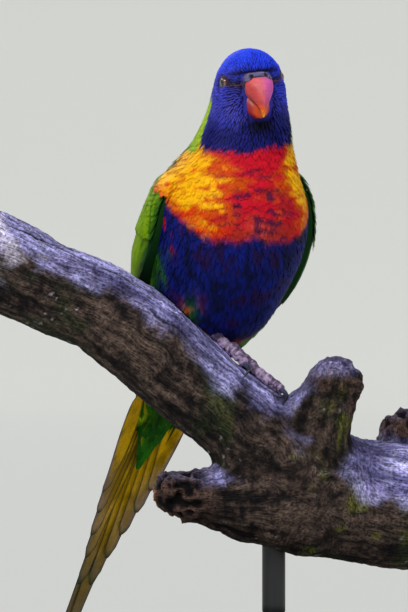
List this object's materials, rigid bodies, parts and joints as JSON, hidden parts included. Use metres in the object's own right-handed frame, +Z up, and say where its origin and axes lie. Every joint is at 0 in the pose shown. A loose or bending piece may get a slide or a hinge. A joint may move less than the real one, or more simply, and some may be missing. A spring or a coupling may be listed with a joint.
{
  "type": "rainbow lorikeet on a perch",
  "caption": "Life-size perched parrot with blue head, orange breast, green wings and stepped tail, gripping a forked branch on a rod and flat base; still display model.",
  "frame": {"origin": "middle of the flat underside of the stand's base, which rests on the table", "axes": "+Z up, away from the table; the bird looks along -Y, turned a little to +X, and its tail points back along +Y"},
  "size_m": [0.2098, 0.1647, 0.2626],
  "materials": {
    "bill": "horn, satin, red shading to orange at the tip",
    "head_feathers": "violet-blue pointed feathers with brighter shafts",
    "eyes": "glossy, dark pupil in a red-brown iris",
    "breast_feathers": "red and orange feathers, yellow at the sides, faint dark bars",
    "belly_feathers": "dark violet-blue feathers, green and orange at the thighs",
    "wing_feathers": "bright green overlapping feathers",
    "tail_feathers": "green above, olive-yellow below with grey tips",
    "feet": "grey scaled skin, dark claws",
    "bark": "weathered bark with lichen, moss and rough cut ends",
    "stand": "satin black"
  },
  "bodies": {
    "root": {"beak_upper": "bill", "beak_lower": "bill", "head": "head_feathers", "eye_right": "eyes", "eye_left": "eyes", "neck": "breast_feathers", "torso": "belly_feathers", "wing_right": "wing_feathers", "wing_left": "wing_feathers", "tail": "tail_feathers", "leg_right": "feet", "leg_left": "feet", "perch_branch": "bark", "stand_base": "stand", "stand_rod": "stand"}
  },
  "joints": []
}
